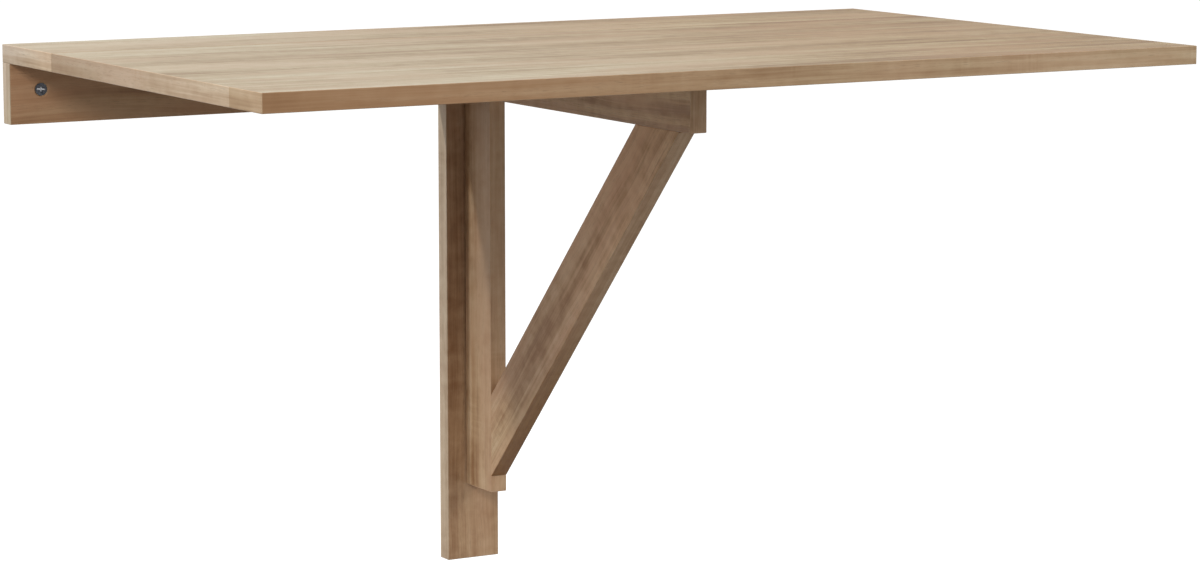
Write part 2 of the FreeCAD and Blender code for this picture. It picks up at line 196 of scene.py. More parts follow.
def vector_of(x, y, z):
    return x.node("ShaderNodeCombineXYZ", {}, {0: x, 1: y, 2: z})


def ramp(tone, *stops):
    return tone.node("ShaderNodeValToRGB", {"stops": stops}, {0: tone})


def bump(height, distance, strength):
    return height.node("ShaderNodeBump", {}, {"Height": height, "Distance": distance, "Strength": strength})


def dress(names, material):
    for name in names:
        for slot in nodes[name].material_slots:
            slot.material = material


print("helpers for finishes are ready")

# %% [markdown]
# The studio floor is plain and pale. It shows white to the camera and in reflections, but sends
# little light back up, so the underside of the table stays darker. Seen from below, the floor
# lets the view through. A Light Path node tells these rays apart, and so no lamp has to be
# turned up to make the picture's ground white.

# %% Floor
FLOOR_BELOW_TOP = 0.75
FLOOR_LEVEL = cad_box[1].z - FLOOR_BELOW_TOP
HALF_FLOOR = 60
FLOOR_GLOW = 0.72
WHITE, FLOOR_WHITE, FLOOR_GREY = (1, 1, 1, 1), (0.55, 0.55, 0.55, 1), (0.18, 0.18, 0.18, 1)


def seen(tree):
    """1 for rays from the camera and for reflected or refracted ones, else 0."""
    path = tree.nodes.new("ShaderNodeLightPath")
    camera_ray, glossy, through = (Wire(tree, path.outputs[name]) for name in
                                   ("Is Camera Ray", "Is Glossy Ray", "Is Transmission Ray"))
    return camera_ray.maths("MAXIMUM", glossy.maths("MAXIMUM", through))


def studio_floor():
    material = bpy.data.materials.new("studio_floor")
    material.use_nodes = True
    tree = material.node_tree
    tree.nodes.clear()
    start = Wire(tree)
    lit = start.node("ShaderNodeBsdfDiffuse", {}, {"Color": FLOOR_GREY})
    white = start.node("ShaderNodeBsdfDiffuse", {}, {"Color": FLOOR_WHITE})
    glow = start.node("ShaderNodeEmission", {}, {"Color": WHITE, "Strength": FLOOR_GLOW})
    pale = start.node("ShaderNodeAddShader", {}, {0: white, 1: glow})
    upper = start.node("ShaderNodeMixShader", {}, {0: seen(tree), 1: lit, 2: pale})
    clear = start.node("ShaderNodeBsdfTransparent", {}, {})
    below = start.node("ShaderNodeNewGeometry", {}, {}, "Backfacing")
    both = start.node("ShaderNodeMixShader", {}, {0: below, 1: upper, 2: clear})
    output = tree.nodes.new("ShaderNodeOutputMaterial")
    tree.links.new(both.socket, output.inputs["Surface"])
    return material


floor_mesh = bpy.data.meshes.new("floor")
corners = [(x * HALF_FLOOR, y * HALF_FLOOR, FLOOR_LEVEL) for x, y in ((-1, -1), (1, -1), (1, 1), (-1, 1))]
floor_mesh.from_pydata(corners, [], [(0, 1, 2, 3)])
floor_mesh.materials.append(studio_floor())
floor = bpy.data.objects.new("floor", floor_mesh)
scene.collection.objects.link(floor)
print("floor at", round(FLOOR_LEVEL, 3), "m")

# %% [markdown]
# An even sky and three lamps light the table. The two lamps in front are wide and soft. The
# one behind the left end is small and high, so the top throws a crisp, slanted shadow on the
# gate, the foot of the gate is bright, and the boards under the top fall into shade.

# %% Sky and lamps
SKY_STRENGTH = 0.62
AIM = Vector((0, -0.25, -0.2))

# Each lamp's place, its width in metres and its power in watts
SOFTBOXES = {
    "rear_left_softbox": ((-2.3, 1.08, 2.9), 0.3, 66),
    "front_left_softbox": ((-2.9, -2.6, 1.75), 1.2, 60),
    "front_right_softbox": ((2.1, -3.5, 1.95), 1.6, 44),
}

world = bpy.data.worlds.new("studio_sky")
world.use_nodes = True
scene.world = world
sky = world.node_tree
background = sky.nodes["Background"]
background.inputs["Color"].default_value = WHITE
sky_shown = seen(sky) * (1 - SKY_STRENGTH) + SKY_STRENGTH
sky.links.new(sky_shown.socket, background.inputs["Strength"])

for name, (place, width, power) in SOFTBOXES.items():
    lamp = bpy.data.lights.new(name, "AREA")
    lamp.shape, lamp.size, lamp.energy = "DISK", width, power
    held = bpy.data.objects.new(name, lamp)
    held.location = place
    held.rotation_euler = (AIM - Vector(place)).to_track_quat("-Z", "Y").to_euler()
    scene.collection.objects.link(held)
print("a sky and", len(SOFTBOXES), "lamps")

# %% [markdown]
# Each board is chipboard with an oak print, and narrow edge strips of the same print. No two
# boards are cut from the same place of the print, so each has its own streaks and its own
# tint, which on most drifts from one end to the other. These tints also hold painted light and
# shade: parts that lie in shade are tinted lighter, and parts that catch more light darker.
# A table says how the boards differ, and one function further down turns a row of it into a
# finish. A finish written out for each board would repeat the same nodes seven times.

# %% What sets the boards apart
# A board's face lies along the grain and across it. The strengths are those of the print at the
# two ends, and sway is in millimetres. Faces and sides are tinted from one end of the board to
# the other, and ends from one side to the other. These tints are partly the board's own and
# partly painted light and shade
Board = namedtuple("Board", "along across print_place strengths sway mottle sheen faces sides ends"
                            " pieced foot", defaults=(None, None))

# End strips of two lengths: how far behind the front corner they meet, and the front one's tint
Pieced = namedtuple("Pieced", "from_front tint")

# A foot painted lighter, as a pool of light below a slanted line that follows the top's shadow,
# and where it starts to fade and is gone, in millimetres from the middle of the board
Foot = namedtuple("Foot", "tint slant fade")

ALONG_X, ALONG_Y, ALONG_Z = Vector((1, 0, 0)), Vector((0, 1, 0)), Vector((0, 0, 1))
BRACE_RUN, BRACE_RISE = 336.0, 352.0
ALONG_BRACE = Vector((0, -BRACE_RUN, BRACE_RISE)).normalized()
ACROSS_BRACE = Vector((0, BRACE_RISE, BRACE_RUN)).normalized()


def tint(red, green, blue):
    """Shares of the print's colour, partly the board's own tint and partly painted light and shade."""
    return red, green, blue, 1


def all_along(shares):
    """The same tint from one end to the other."""
    return shares, shares


# Painted shade and light: the top is tinted darker towards its right-hand end, and its front strip lighter
# there
TOP_FACES = tint(0.94, 1.10, 1.21), tint(0.78, 0.78, 0.69)
TOP_SIDES = tint(0.79, 0.66, 0.56), tint(1.11, 1.16, 1.16)
WARM = all_along(tint(0.98, 0.81, 0.67))
SANDY = all_along(tint(1.20, 1.10, 1.00))
PALE_STRIP = all_along(tint(1.16, 1.24, 1.30))
RUSSET = all_along(tint(0.98, 0.80, 0.64))

BOARDS = {
    # Painted light: the top's end strips are tinted paler, as if more light fell on them from the left
    "fixed_shelf": Board(
        ALONG_X, ALONG_Y, print_place=135.1, strengths=(1.12, 1.62), sway=8, mottle=0.2, sheen=0.1,
        faces=TOP_FACES, sides=TOP_SIDES, ends=(tint(1.28, 1.40, 1.53), tint(1.14, 1.32, 1.58))),
    "drop_leaf": Board(
        ALONG_X, ALONG_Y, print_place=43.1, strengths=(1.12, 1.62), sway=8, mottle=0.2, sheen=0.1,
        faces=TOP_FACES, sides=TOP_SIDES, ends=(tint(1.36, 1.52, 1.73), tint(0.84, 0.84, 0.86)),
        pieced=Pieced(from_front=66, tint=tint(1.06, 1.08, 1.08))),
    "wall_rail": Board(
        ALONG_X, ALONG_Z, print_place=11.9, strengths=(1.6, 1.6), sway=14, mottle=0.16, sheen=0.4,
        faces=WARM, sides=WARM, ends=(tint(0.96, 1.07, 1.10), tint(1.04, 1.17, 1.30))),
    # Painted shade and light: the post's face is tinted darker towards its top, under the table top, and its
    # left strip lighter
    "wall_post": Board(
        ALONG_Z, ALONG_X, print_place=96.0, strengths=(1.2, 1.2), sway=30, mottle=0.45, sheen=0.4,
        faces=(tint(1.08, 0.97, 0.87), tint(0.93, 0.80, 0.72)),
        sides=(tint(1.17, 1.26, 1.36), tint(1.31, 1.44, 1.60)), ends=PALE_STRIP),
    "gate_stile": Board(
        ALONG_Z, ALONG_Y, print_place=23.6, strengths=(1.4, 1.4), sway=18, mottle=0.38, sheen=0.4,
        faces=(tint(1.00, 0.91, 0.81), tint(1.04, 0.96, 0.88)), sides=SANDY, ends=SANDY),
    # Painted light: the arm lies in the top's shade and is tinted lighter
    "gate_arm": Board(
        ALONG_Y, ALONG_Z, print_place=29.2, strengths=(1.8, 1.8), sway=18, mottle=0.3, sheen=0.4,
        faces=(tint(1.48, 1.35, 1.22), tint(1.34, 1.22, 1.12)), sides=SANDY, ends=SANDY),
    # Painted light: the brace and its strips are tinted lighter towards the upper end, which lies in the
    # top's shade
    "gate_brace": Board(
        ALONG_BRACE, ACROSS_BRACE, print_place=56.9, strengths=(1.55, 1.55), sway=22, mottle=0.38,
        sheen=0.15, faces=(tint(0.91, 0.83, 0.81), tint(1.76, 1.59, 1.50)),
        sides=(tint(0.72, 0.52, 0.33), tint(1.38, 1.32, 1.31)), ends=RUSSET,
        foot=Foot(tint=tint(1.13, 1.09, 1.03), slant=1.6, fade=(-222, -120))),
}
print(len(BOARDS), "boards")

# %% [markdown]
# A solid texture on the piece's own coordinates needs no unwrapping, and its streaks run on
# round the corners. For that the finish has to know where on its board a point lies: how far
# along the grain, how far across it, and how deep below the faces. A point just below an end
# face is on an end strip, and one that is deep below every face lies inside a hole or a recess.

# %% Places on a board
def board_reach(name, axis):
    """The lowest and the highest place of a board along an axis, in metres."""
    reach = np.array([v.co for v in nodes[name].data.vertices]) @ np.array(axis)
    return reach.min(), reach.max()


def board_levels(name, place, axes):
    """Along each axis of a board: how far from its middle, how deep below its faces, and half its length.

    All are in millimetres. The first two are wires, and the last is a plain number.
    """
    levels, depths, halves = [], [], []
    for axis in axes:
        low, high = board_reach(name, axis)
        half = (high - low) / 2 / MM
        along = place.node("ShaderNodeVectorMath", {"operation": "DOT_PRODUCT"},
                           {0: place, 1: tuple(axis)}, "Value")
        level = (along - (low + high) / 2) / MM
        levels.append(level)
        depths.append(half - level.maths("ABSOLUTE"))
        halves.append(half)
    return levels, depths, halves


for name, board in BOARDS.items():
    low, high = board_reach(name, board.along)
    print(name, "is", round((high - low) / MM, 1), "mm long")

# %% [markdown]
# The print is noise, drawn out along the grain at many sizes: wide bands and clouds, ribbons,
# lines, hairs and open pores, with short dark dashes, patches of saw marks across the grain, and
# a mottle that breaks up what would else be too straight. A slow sway bends the long ones
# together. One kind of noise would look like brushed metal, so it takes several, each with its
# own weight.

# %% Oak print
OAK_PALE, OAK_BODY, OAK_DARK = linear(196, 174, 146), linear(177, 150, 120), linear(140, 108, 78)
OAK_BLUSH = linear(181, 145, 117)
OAK_STOPS = (0.20, OAK_DARK), (0.50, OAK_BODY), (0.74, OAK_PALE)

# Length along the grain and width across it in millimetres, fineness, and weight in the tone
Streak = namedtuple("Streak", "length width detail weight", defaults=(None,))
BANDS, CLOUDS, RIBBONS = Streak(520, 52, 3, 0.45), Streak(210, 42, 3, 0.36), Streak(190, 17, 2, 0.36)
LINES, HAIRS = Streak(300, 6.5, 3, 0.30), Streak(70, 1.6, 2, 0.26)
LONG_STREAKS = BANDS, CLOUDS, RIBBONS, LINES, HAIRS
DASHES, PORES, MOTTLE = Streak(60, 4.5, 2), Streak(11, 0.42, 1), Streak(15, 17, 3)
SWAY, BLUSH, SAWN = Streak(240, 110, 2), Streak(210, 50, 2), Streak(70, 40, 2)
SAW_PITCH, SAW_WIDTH, SAW_DETAIL = 3.2, 45, 1
CRISP_WEIGHT, DASH_WEIGHT, SAW_WEIGHT = 0.055, 0.07, 0.20
BLUSH_SHARE, PORE_SHADE = 0.32, 0.26

# Where in the noise a mark starts and where it is full
CRISP_STEP, BLUSH_STEP, SAWN_STEP = (0.44, 0.56), (0.42, 0.64), (0.54, 0.70)
DASH_STEP, DASH_CLOUDS = (0.56, 0.70), (0.40, 0.60)
PORE_STEP, PORE_LINES = (0.60, 0.70), (0.40, 0.62)

OakPrint = namedtuple("OakPrint", "colour lines hairs pores saw_marks")


def oak_print(board, run, rise, level, strength):
    """The colour of the print, and those of its marks that also show in the gloss and the relief."""
    def streak(kind, across):
        return noise(vector_of(run / kind.length + board.print_place, across / kind.width + board.print_place,
                               level / kind.width), detail=kind.detail)

    bent = rise + (streak(SWAY, rise) - 0.5) * board.sway
    layers = {kind: streak(kind, bent) for kind in LONG_STREAKS}
    clouds, lines, hairs = (layers[kind] for kind in (CLOUDS, LINES, HAIRS))
    dashes = streak(DASHES, bent).step(*DASH_STEP) * clouds.step(*DASH_CLOUDS)
    pores = streak(PORES, bent).step(*PORE_STEP) * lines.step(*PORE_LINES)
    blush = streak(BLUSH, bent).step(*BLUSH_STEP)
    sawn = streak(SAWN, rise).step(*SAWN_STEP)
    saw_lines = noise(vector_of(run / SAW_PITCH, rise / SAW_WIDTH, level / SAW_WIDTH), detail=SAW_DETAIL)
    saw_marks = saw_lines - 0.5

    tone = (streak(MOTTLE, rise) - 0.5) * board.mottle + saw_marks * sawn * SAW_WEIGHT
    tone = tone + (lines.step(*CRISP_STEP) - 0.5) * CRISP_WEIGHT - dashes * DASH_WEIGHT
    for kind, layer in layers.items():
        tone = tone + (layer - 0.5) * kind.weight
    colour = ramp(tone * strength + 0.5, *OAK_STOPS)
    colour = (blush * strength * BLUSH_SHARE).mix(colour, OAK_BLUSH)
    colour = (1 - pores * PORE_SHADE).shade(colour)
    return OakPrint(colour, lines, hairs, pores, saw_marks)


print("the print has", len(LONG_STREAKS), "kinds of long streaks")

# %% [markdown]
# The edges of a board are glued strips with a tint of their own, which on some boards also
# paints light and shade. A tint that drifts is a mix of two, with the place along the board as
# the share. The leaf's end strips are pieced from two lengths, which shows as a sharp change of
# tone, and the foot of the brace is painted lighter, as painted light below the top's slanted shadow.

# %% Tints of faces and strips
PIECED_BLUR = 0.2


def board_tint(board, run, rise, half_rise, drift, end, side):
    """The tint of a face, a side strip or an end strip, whichever the point lies on."""
    face_tint, side_tint = drift.mix(*board.faces), drift.mix(*board.sides)
    end_tint = rise.step(-half_rise, half_rise).mix(*board.ends)
    # Painted light: the foot below the slanted shadow line of the top is tinted lighter
    if board.foot:
        above_foot = (run + rise * board.foot.slant).step(*board.foot.fade)
        face_tint = above_foot.mix(board.foot.tint, face_tint)
    if board.pieced:
        joint = board.pieced.from_front - half_rise
        behind = rise.step(joint - PIECED_BLUR, joint + PIECED_BLUR)
        end_tint = (1 - behind).mix(end_tint, board.pieced.tint)
    return side.mix(end.mix(face_tint, end_tint), side_tint)


print("end strips of two lengths:", [name for name in BOARDS if BOARDS[name].pieced])

# %% [markdown]
# The finish of a board puts the print on its faces and turns it round on the end strips, where
# the strip's own grain runs across the board. Side strips are a little calmer than faces.
# Corners are rubbed pale here and there, and a hole shows the raw chips of the board. The print
# is a foil, so its sheen is low, and pores and hairs show in the gloss and as a faint relief.

# %% Oak board finish
CHIP_PALE, CHIP_DARK, CHIPS_PER_METRE = linear(196, 164, 120), linear(118, 84, 52), 620.0
CHIP_GRAIN_PER_METRE = 900.0

# Depths below the faces in millimetres: where a strip ends, a rubbed corner ends and raw chips start
STRIP_DEPTH, RUBBED_DEPTH, RAW_DEPTH = (0.5, 0.8), (0.15, 1.0), (0.62, 0.85)
RUBS_PER_METRE, RUB_DETAIL, RUB_STEP, RUB_SHARE = 45.0, 3, (0.42, 0.66), 0.3

# Where a tint starts to drift and where it ends, as shares of half the board's length
DRIFT_FROM, DRIFT_TO = -0.8, 0.7
SIDE_CALM = 0.3

# Weights of the marks in the roughness and in the relief
ROUGH_BASE, ROUGH_HAIRS, ROUGH_LINES, ROUGH_PORES = 0.34, 0.22, 0.10, 0.12
ROUGH_RAW, SMOOTH_RUBBED = 0.3, 0.06
RELIEF_HAIRS, RELIEF_SAW, RELIEF_CHIPS = 0.35, 0.15, 3
RELIEF_DEPTH, RELIEF_STRENGTH = 0.0001, 0.35


def chipboard(place):
    """Raw pressed chips, for the inside of holes and recesses."""
    cells = place.node("ShaderNodeTexVoronoi", {}, {"Vector": place, "Scale": CHIPS_PER_METRE}, "Color")
    tone = cells.node("ShaderNodeSeparateColor", {}, {0: cells})
    return tone.mix(CHIP_DARK, CHIP_PALE)


def oak(name, board):
    material, shader, place = new_finish(name + "_oak")
    axes = board.along, board.across, board.along.cross(board.across)
    (run, rise, level), (depth_end, depth_side, depth_face), halves = board_levels(name, place, axes)
    half_run, half_rise = halves[:2]
    end = 1 - depth_end.step(*STRIP_DEPTH)
    side = (1 - depth_side.step(*STRIP_DEPTH)) * (1 - end)
    drift = run.step(DRIFT_FROM * half_run, DRIFT_TO * half_run)
    first, last = board.strengths
    strength = (drift * (last - first) + first) * (1 - side * SIDE_CALM)
    oaken = oak_print(board, run + end * (rise - run), rise * (1 - end), level, strength)
    colour = board_tint(board, run, rise, half_rise, drift, end, side).shade(oaken.colour)

    nearer, further = depth_end.maths("MINIMUM", depth_side), depth_end.maths("MAXIMUM", depth_side)
    arris = nearer.maths("MAXIMUM", further.maths("MINIMUM", depth_face))
    rubbed = (1 - arris.step(*RUBBED_DEPTH)) * noise(place, RUBS_PER_METRE, RUB_DETAIL).step(*RUB_STEP)
    colour = (rubbed * RUB_SHARE).mix(colour, OAK_PALE)
    raw = nearer.maths("MINIMUM", depth_face).step(*RAW_DEPTH)
    colour = raw.mix(colour, chipboard(place))

    roughness = (oaken.hairs * ROUGH_HAIRS + oaken.lines * ROUGH_LINES + oaken.pores * ROUGH_PORES
                 + raw * ROUGH_RAW - rubbed * SMOOTH_RUBBED + ROUGH_BASE)
    height = (oaken.hairs * RELIEF_HAIRS - oaken.pores + oaken.saw_marks * RELIEF_SAW
              + raw * noise(place, CHIP_GRAIN_PER_METRE) * RELIEF_CHIPS)
    join(shader, Base_Color=colour, Roughness=roughness, Normal=bump(height, RELIEF_DEPTH, RELIEF_STRENGTH))
    shader.inputs["Specular IOR Level"].default_value = board.sheen
    return material


for name, board in BOARDS.items():
    dress([name], oak(name, board))
print("oak on", ", ".join(BOARDS))

# %% [markdown]
# The hinges are zinc plated steel, pressed from strip, so they carry fine lines along the strip,
# a cloudy plating and small dark specks. Noise that is stretched far along one axis draws the
# lines, and round noise draws the clouds. Both also vary the roughness, because plated metal
# shows its marks in its shine more than in its colour. The dark wall screws have a brighter
# recess, a painted highlight that stands in for the light caught in the cross.

# %% Steel and zinc finishes
PLATED = linear(150, 150, 148), linear(205, 204, 198)
# The colour in the screw's recess is a painted highlight, lighter than the coated head
COATED, RECESS_HIGHLIGHT = (linear(40, 41, 45), linear(92, 93, 97)), linear(176, 176, 178)
CAST = linear(128, 128, 130), linear(178, 178, 180)

# How often the lines repeat in a metre, along each axis: pressed strip, turned and cast pieces
ALONG_STRIP, ACROSS_STRIP = 30, 1800
LEVEL_STRIP = ALONG_STRIP, ACROSS_STRIP, ACROSS_STRIP
UPRIGHT_STRIP = ACROSS_STRIP, ACROSS_STRIP, ALONG_STRIP
TURNED_LINES, CAST_LINES = (900, 900, 900), (260, 260, 260)
CLOUDS_PER_METRE, SPECKS_PER_METRE, METAL_DETAIL = 140.0, 1500.0, 3

# Weights of the marks
Marks = namedtuple("Marks", "lines clouds specks")
IN_TONE, IN_ROUGHNESS, IN_RELIEF = Marks(0.8, 0.5, -0.12), Marks(0.16, 0.22, 0.2), Marks(0.6, 0.3, -1)
TONE_DARK, TONE_LIGHT = 0.25, 0.75
SPECK_STEP, RECESS_STEP = (0.64, 0.76), (0.2, 0.9)
METAL_DEPTH, METAL_STRENGTH = 0.00005, 0.3


def plated_steel(name, colours, line_scale, roughness, recess=None):
    material, shader, place = new_finish(name)
    scaled = place.node("ShaderNodeVectorMath", {"operation": "MULTIPLY"}, {0: place, 1: line_scale})
    lines = noise(scaled, detail=METAL_DETAIL) - 0.5
    clouds = noise(place, CLOUDS_PER_METRE, METAL_DETAIL) - 0.5
    specks = noise(place, SPECKS_PER_METRE).step(*SPECK_STEP)

    def marked(weights):
        return lines * weights.lines + clouds * weights.clouds + specks * weights.specks

    dark, light = colours
    colour = ramp(marked(IN_TONE) + 0.5, (TONE_DARK, dark), (TONE_LIGHT, light))
    # Painted highlight in the cross recess of the screw
    if recess:
        driven = place.node("ShaderNodeAttribute", {"attribute_name": "driven"}, {}, "Fac")
        colour = driven.step(*RECESS_STEP).mix(colour, recess)
    join(shader, Base_Color=colour, Roughness=marked(IN_ROUGHNESS) + roughness,
         Normal=bump(marked(IN_RELIEF), METAL_DEPTH, METAL_STRENGTH))
    shader.inputs["Metallic"].default_value = 1.0
    return material


hinge_steel = plated_steel("hinge_steel", PLATED, LEVEL_STRIP, roughness=0.33)
upright_steel = plated_steel("gate_hinge_steel", PLATED, UPRIGHT_STRIP, roughness=0.33)
screw_steel = plated_steel("screw_steel", COATED, TURNED_LINES, roughness=0.35, recess=RECESS_HIGHLIGHT)
cam_zinc = plated_steel("cam_zinc", CAST, CAST_LINES, roughness=0.49)

dress([n for n in nodes if n.startswith("leaf_hinge_") and n.endswith(("_plate", "_pin"))], hinge_steel)
dress([n for n in nodes if n.startswith("gate_hinge_") and n.endswith(("_plate", "_pin"))], upright_steel)
dress(["shelf_cam_locks", "shelf_cam_bolts"], cam_zinc)
print("steel on the hinges and zinc on the cam locks")

# %% [markdown]
# The dowels are turned from beech, a pale wood with short flecks, and the glide on the tip of
# the arm is moulded nylon, evenly brown with a fine moulded grain. Both are small and mostly
# hidden, so two kinds of noise are enough for each.

# %% Beech and nylon finishes
BEECH_DARK, BEECH_PALE = linear(186, 148, 106), linear(216, 184, 142)
FLECKS_PER_METRE, FLECK_STEP, FLECK_SHADE, FLECK_DEPTH = 700.0, (0.55, 0.68), 0.25, 0.5
BEECH_BANDS_PER_METRE, BEECH_DETAIL = 60.0, 3
NYLON_DARK, NYLON_PALE = linear(118, 94, 72), linear(146, 120, 94)
NYLON_CLOUDS_PER_METRE, NYLON_GRAIN_PER_METRE, NYLON_DETAIL = 120.0, 1600.0, 3


def beech():
    material, shader, place = new_finish("beech")
    flecks = noise(place, FLECKS_PER_METRE).step(*FLECK_STEP)
    bands = noise(place, BEECH_BANDS_PER_METRE, BEECH_DETAIL)
    colour = (1 - flecks * FLECK_SHADE).shade(bands.mix(BEECH_DARK, BEECH_PALE))
    relief = bump(bands - flecks * FLECK_DEPTH, distance=0.0002, strength=0.3)
    join(shader, Base_Color=colour, Roughness=bands * 0.2 + 0.5, Normal=relief)
    return material


def nylon():
    material, shader, place = new_finish("nylon")
    clouds = noise(place, NYLON_CLOUDS_PER_METRE, NYLON_DETAIL)
    grain = noise(place, NYLON_GRAIN_PER_METRE)
    colour = (grain * 0.2 + 0.9).shade(clouds.mix(NYLON_DARK, NYLON_PALE))
    relief = bump(grain, distance=0.00005, strength=0.4)
    join(shader, Base_Color=colour, Roughness=clouds * 0.25 + 0.3, Normal=relief)
    return material


dress([n for n in nodes if n.endswith("_dowels")], beech())
dress(["arm_glide"], nylon())
print("beech on the dowels and nylon on the glide")

# %% [markdown]
# A screw is a countersunk head with a cross recess, a neck, and a thread that winds down to a
# point. The same shape is used 32 times in two sizes, so it is a Geometry Nodes tree with named
# sizes. Its parts are few: cones make the body, and a spiral swept with a diamond makes the
# thread. Modelled by hand, each size would have to be made again.

# %% Parts of a screw
ROUND_SIDES, PIT_SIDES, STEPS_PER_TURN, THREAD_CORNERS = 40, 8, 18, 4


def lifted(shape, height):
    lift = shape.node("ShaderNodeCombineXYZ", {}, {2: height})
    return shape.node("GeometryNodeTransform", {}, {"Geometry": shape, "Translation": lift})


def cone(start, low_radius, high_radius, height, from_height, sides=ROUND_SIDES):
    shape = start.node("GeometryNodeMeshCone", {}, {"Vertices": sides, "Radius Bottom": low_radius,
                                                    "Radius Top": high_radius, "Depth": height})
    return lifted(shape, from_height)


def bar(start, x, y, z):
    size = start.node("ShaderNodeCombineXYZ", {}, {0: x, 1: y, 2: z})
    return start.node("GeometryNodeMeshCube", {}, {"Size": size})


def winding(start, low_radius, high_radius, height, from_height, pitch, thread):
    path = start.node("GeometryNodeCurveSpiral", {}, {
        "Resolution": STEPS_PER_TURN, "Rotations": height / pitch, "Start Radius": low_radius,
        "End Radius": high_radius, "Height": height})
    path = start.node("GeometryNodeSetCurveNormal", {"mode": "Z_UP"}, {"Curve": path})
    ridge = start.node("GeometryNodeCurvePrimitiveCircle", {},
                       {"Resolution": THREAD_CORNERS, "Radius": thread})
    made = start.node("GeometryNodeCurveToMesh", {},
                      {"Curve": path, "Profile Curve": ridge, "Fill Caps": True})
    return lifted(made, from_height)


def together(start, *shapes):
    made = start.tree.nodes.new("GeometryNodeJoinGeometry")
    for shape in reversed(shapes):
        start.tree.links.new(shape.socket, made.inputs[0])
    return Wire(start.tree, made.outputs[0])


print("a thread has", STEPS_PER_TURN, "steps in each turn")

# %% [markdown]
# A Boolean cuts the cross out of the head with two bars and a small cone. The points inside the
# cut are marked with an attribute, so that the finish can paint a highlight there. The rest
# of the screw only overlaps, as nobody sees where neck, core and thread meet.

# %% Screw shape
SCREW_SIZES = ("Head Radius", "Neck Radius", "Neck Length", "Root Radius", "Thread Height", "Pitch",
               "Length", "Point", "Slot Length", "Cross Length", "Slot Width", "Slot Depth")

# The pit in the middle of the cross, as shares of the cross's length and of the slot's depth
PIT_TOP, PIT_FLOOR, PIT_DEPTH, PIT_LIFT = 0.36, 0.08, 1.5, -0.1
LEAST_INSIDE = 0.02
NECK_START, TIP_RADIUS, TIP_THREAD = 0.9, 0.1, 0.85


def screw_head(start, head, neck, slot, cross, slot_width, slot_depth):
    top = cone(start, head, neck, head - neck, 0.0)
    pit = cone(start, cross * PIT_TOP, cross * PIT_FLOOR, slot_depth * PIT_DEPTH, 0.0, PIT_SIDES)
    cut = start.node("GeometryNodeMeshBoolean", {"operation": "DIFFERENCE", "solver": "EXACT"},
                     {"Mesh 1": top})
    for tool in (bar(start, slot, slot_width, slot_depth * 2), bar(start, slot_width, cross, slot_depth * 2),
                 lifted(pit, slot_depth * PIT_LIFT)):
        start.tree.links.new(tool.socket, cut.socket.node.inputs["Mesh 2"])

    apart = start.tree.nodes.new("ShaderNodeSeparateXYZ")
    start.tree.links.new(start.node("GeometryNodeInputPosition", {}, {}).socket, apart.inputs[0])
    x, y, deep = (Wire(start.tree, apart.outputs[n]) for n in range(3))
    inside = head - deep - (x * x + y * y).maths("SQRT")
    least = head * LEAST_INSIDE
    # A mask of the points inside the cut, where the finish paints a highlight
    driven = inside.maths("GREATER_THAN", least) * deep.maths("GREATER_THAN", least)
    return start.node("GeometryNodeStoreNamedAttribute", {"data_type": "FLOAT", "domain": "POINT"},
                      {"Geometry": cut, "Name": "driven", "Value": driven})


def screw_shape(start, sizes):
    head, neck, neck_length, root, thread, pitch, length, point, slot, cross, slot_width, slot_depth = sizes
    core_height = length - neck_length - point
    neck_start = (head - neck) * NECK_START
    return together(
        start, screw_head(start, head, neck, slot, cross, slot_width, slot_depth),
        cone(start, neck, neck, neck_length - neck_start, neck_start),
        cone(start, root, root, core_height, neck_length),
        cone(start, root, 0.0, point, length - point),
        winding(start, root, root, core_height, neck_length, pitch, thread),
        winding(start, root, root * TIP_RADIUS, point * TIP_THREAD, length - point, pitch, thread))


print("a screw has", len(SCREW_SIZES), "sizes")

# %% [markdown]
# The tree sets the finished screw on points and turns it to the direction that each point
# carries. Each screw stops at its own angle, as driven screws do, from a fixed seed. Instances
# would be lost when the model is exported, so the tree ends by making them real.

# %% Screw tree
def screw_tree():
    tree = bpy.data.node_groups.new("screws_on_points", "GeometryNodeTree")
    inputs = {"Points": "NodeSocketGeometry", **{name: "NodeSocketFloat" for name in SCREW_SIZES},
              "Turn": "NodeSocketFloat", "Seed": "NodeSocketInt", "Finish": "NodeSocketMaterial"}
    ids = {name: tree.interface.new_socket(name=name, in_out="INPUT", socket_type=kind).identifier
           for name, kind in inputs.items()}
    tree.interface.new_socket(name="Screws", in_out="OUTPUT", socket_type="NodeSocketGeometry")
    group_input = tree.nodes.new("NodeGroupInput")
    given = {name: Wire(tree, group_input.outputs[name]) for name in inputs}
    start = Wire(tree)

    screw = screw_shape(start, [given[name] for name in SCREW_SIZES])
    axis = start.node("GeometryNodeInputNamedAttribute", {"data_type": "FLOAT_VECTOR"}, {"Name": "axis"})
    pointed = start.node("FunctionNodeAlignRotationToVector", {"axis": "Z"}, {"Vector": axis})
    placed = start.node("GeometryNodeInstanceOnPoints", {},
                        {"Points": given["Points"], "Instance": screw, "Rotation": pointed})
    spin = start.node("FunctionNodeRandomValue", {"data_type": "FLOAT"},
                      {2: given["Turn"] * -1, 3: given["Turn"], "Seed": given["Seed"]}, 1)
    about_axis = start.node("ShaderNodeCombineXYZ", {}, {2: spin})
    spun = start.node("GeometryNodeRotateInstances", {},
                      {"Instances": placed, "Rotation": about_axis, "Local Space": True})
    real = start.node("GeometryNodeRealizeInstances", {}, {"Geometry": spun})
    coated = start.node("GeometryNodeSetMaterial", {}, {"Geometry": real, "Material": given["Finish"]})
    tree.links.new(coated.socket, tree.nodes.new("NodeGroupOutput").inputs[0])
    return tree, ids


screws_on_points, screw_inputs = screw_tree()
print("screw tree with", len(screws_on_points.nodes), "nodes")

